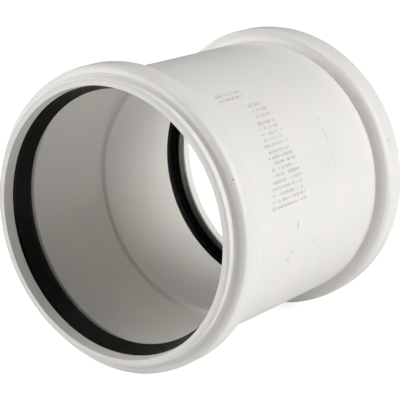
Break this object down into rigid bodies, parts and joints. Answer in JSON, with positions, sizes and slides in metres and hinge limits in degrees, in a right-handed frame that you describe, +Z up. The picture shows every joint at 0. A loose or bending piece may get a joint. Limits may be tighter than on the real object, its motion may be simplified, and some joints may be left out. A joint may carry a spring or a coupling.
{
  "type": "push fit pipe coupling",
  "caption": "Straight double-socket pipe coupling: a short white tube with a raised seal housing and a black rubber lip seal at each end, and a low pipe stop inside.",
  "frame": {"origin": "centre of the coupling, on the pipe axis, midway between the two mouths", "axes": "+Y along the pipe axis towards the rear socket, +Z up with the coupling lying on its side, +X across"},
  "size_m": [0.1272, 0.13, 0.1272],
  "materials": {
    "white_plastic": "smooth ivory-white moulded plastic with a soft gloss",
    "black_rubber": "smooth black rubber with a dull sheen"
  },
  "bodies": {
    "root": {"coupling_body": "white_plastic", "lip_seal_front": "black_rubber", "lip_seal_rear": "black_rubber"}
  },
  "joints": []
}
